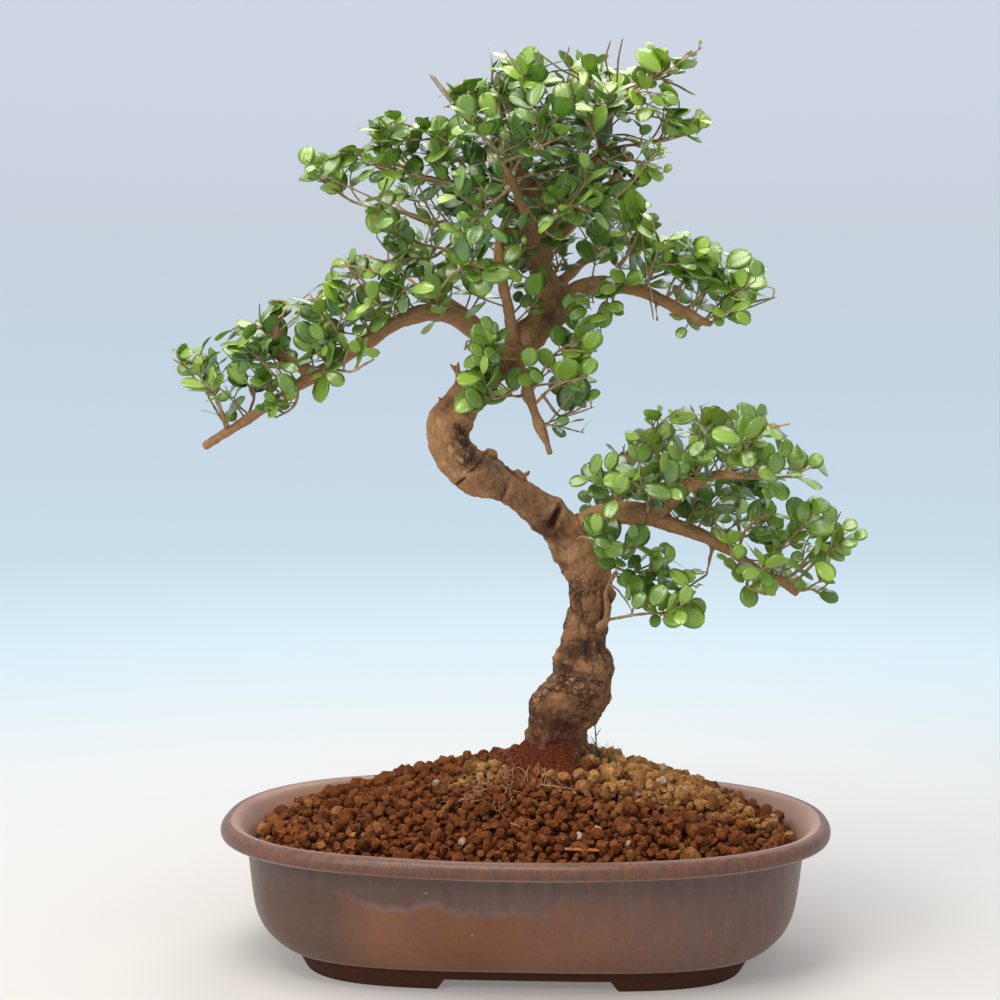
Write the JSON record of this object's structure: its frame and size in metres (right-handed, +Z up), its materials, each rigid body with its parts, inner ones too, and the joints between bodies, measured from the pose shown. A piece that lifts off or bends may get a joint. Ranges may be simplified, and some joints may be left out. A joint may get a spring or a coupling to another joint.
{
  "type": "bonsai tree",
  "caption": "Small-leaved privet bonsai with an S-curved trunk in an oval glazed stoneware pot with a rolled lip and a recessed foot ring.",
  "frame": {"origin": "on the surface that the foot ring stands on, under the middle of the tree and pot together", "axes": "+Z up the tree, +X towards the right end of the pot seen from its front, +Y towards its back"},
  "size_m": [0.3534, 0.203, 0.4665],
  "materials": {
    "stoneware": "satin",
    "screen_plastic": "matte",
    "akadama": "matte",
    "bark": "matte",
    "leafy_twigs": "satin"
  },
  "bodies": {
    "root": {"pot": "stoneware", "drain_screen_left": "screen_plastic", "drain_screen_right": "screen_plastic", "soil": "akadama", "trunk": "bark", "spray_crown_1": "leafy_twigs", "spray_crown_2": "leafy_twigs", "spray_crown_3": "leafy_twigs", "spray_crown_4": "leafy_twigs", "spray_crown_5": "leafy_twigs", "spray_crown_6": "leafy_twigs", "spray_crown_7": "leafy_twigs", "spray_crown_8": "leafy_twigs", "spray_crown_9": "leafy_twigs", "spray_crown_10": "leafy_twigs", "spray_crown_11": "leafy_twigs", "spray_crown_12": "leafy_twigs", "spray_crown_13": "leafy_twigs", "spray_crown_14": "leafy_twigs", "spray_crown_15": "leafy_twigs", "spray_crown_16": "leafy_twigs", "spray_crown_17": "leafy_twigs", "spray_crown_18": "leafy_twigs", "spray_left_1": "leafy_twigs", "spray_left_2": "leafy_twigs", "spray_left_3": "leafy_twigs", "spray_left_4": "leafy_twigs", "spray_left_5": "leafy_twigs", "spray_left_6": "leafy_twigs", "spray_left_7": "leafy_twigs", "spray_left_8": "leafy_twigs", "spray_left_9": "leafy_twigs", "spray_left_10": "leafy_twigs", "spray_back_1": "leafy_twigs", "spray_back_2": "leafy_twigs", "spray_right_1": "leafy_twigs", "spray_right_2": "leafy_twigs", "spray_right_3": "leafy_twigs", "spray_right_4": "leafy_twigs", "spray_right_5": "leafy_twigs", "spray_right_6": "leafy_twigs", "spray_centre_1": "leafy_twigs", "spray_centre_2": "leafy_twigs", "spray_centre_3": "leafy_twigs", "spray_centre_4": "leafy_twigs", "spray_lower_1": "leafy_twigs", "spray_lower_2": "leafy_twigs", "spray_lower_3": "leafy_twigs", "spray_lower_4": "leafy_twigs", "spray_lower_5": "leafy_twigs", "spray_lower_6": "leafy_twigs", "spray_lower_7": "leafy_twigs", "spray_lower_8": "leafy_twigs", "spray_lower_9": "leafy_twigs", "spray_lower_10": "leafy_twigs", "spray_lower_11": "leafy_twigs", "spray_trunk_1": "leafy_twigs", "spray_trunk_2": "leafy_twigs"}
  },
  "joints": []
}
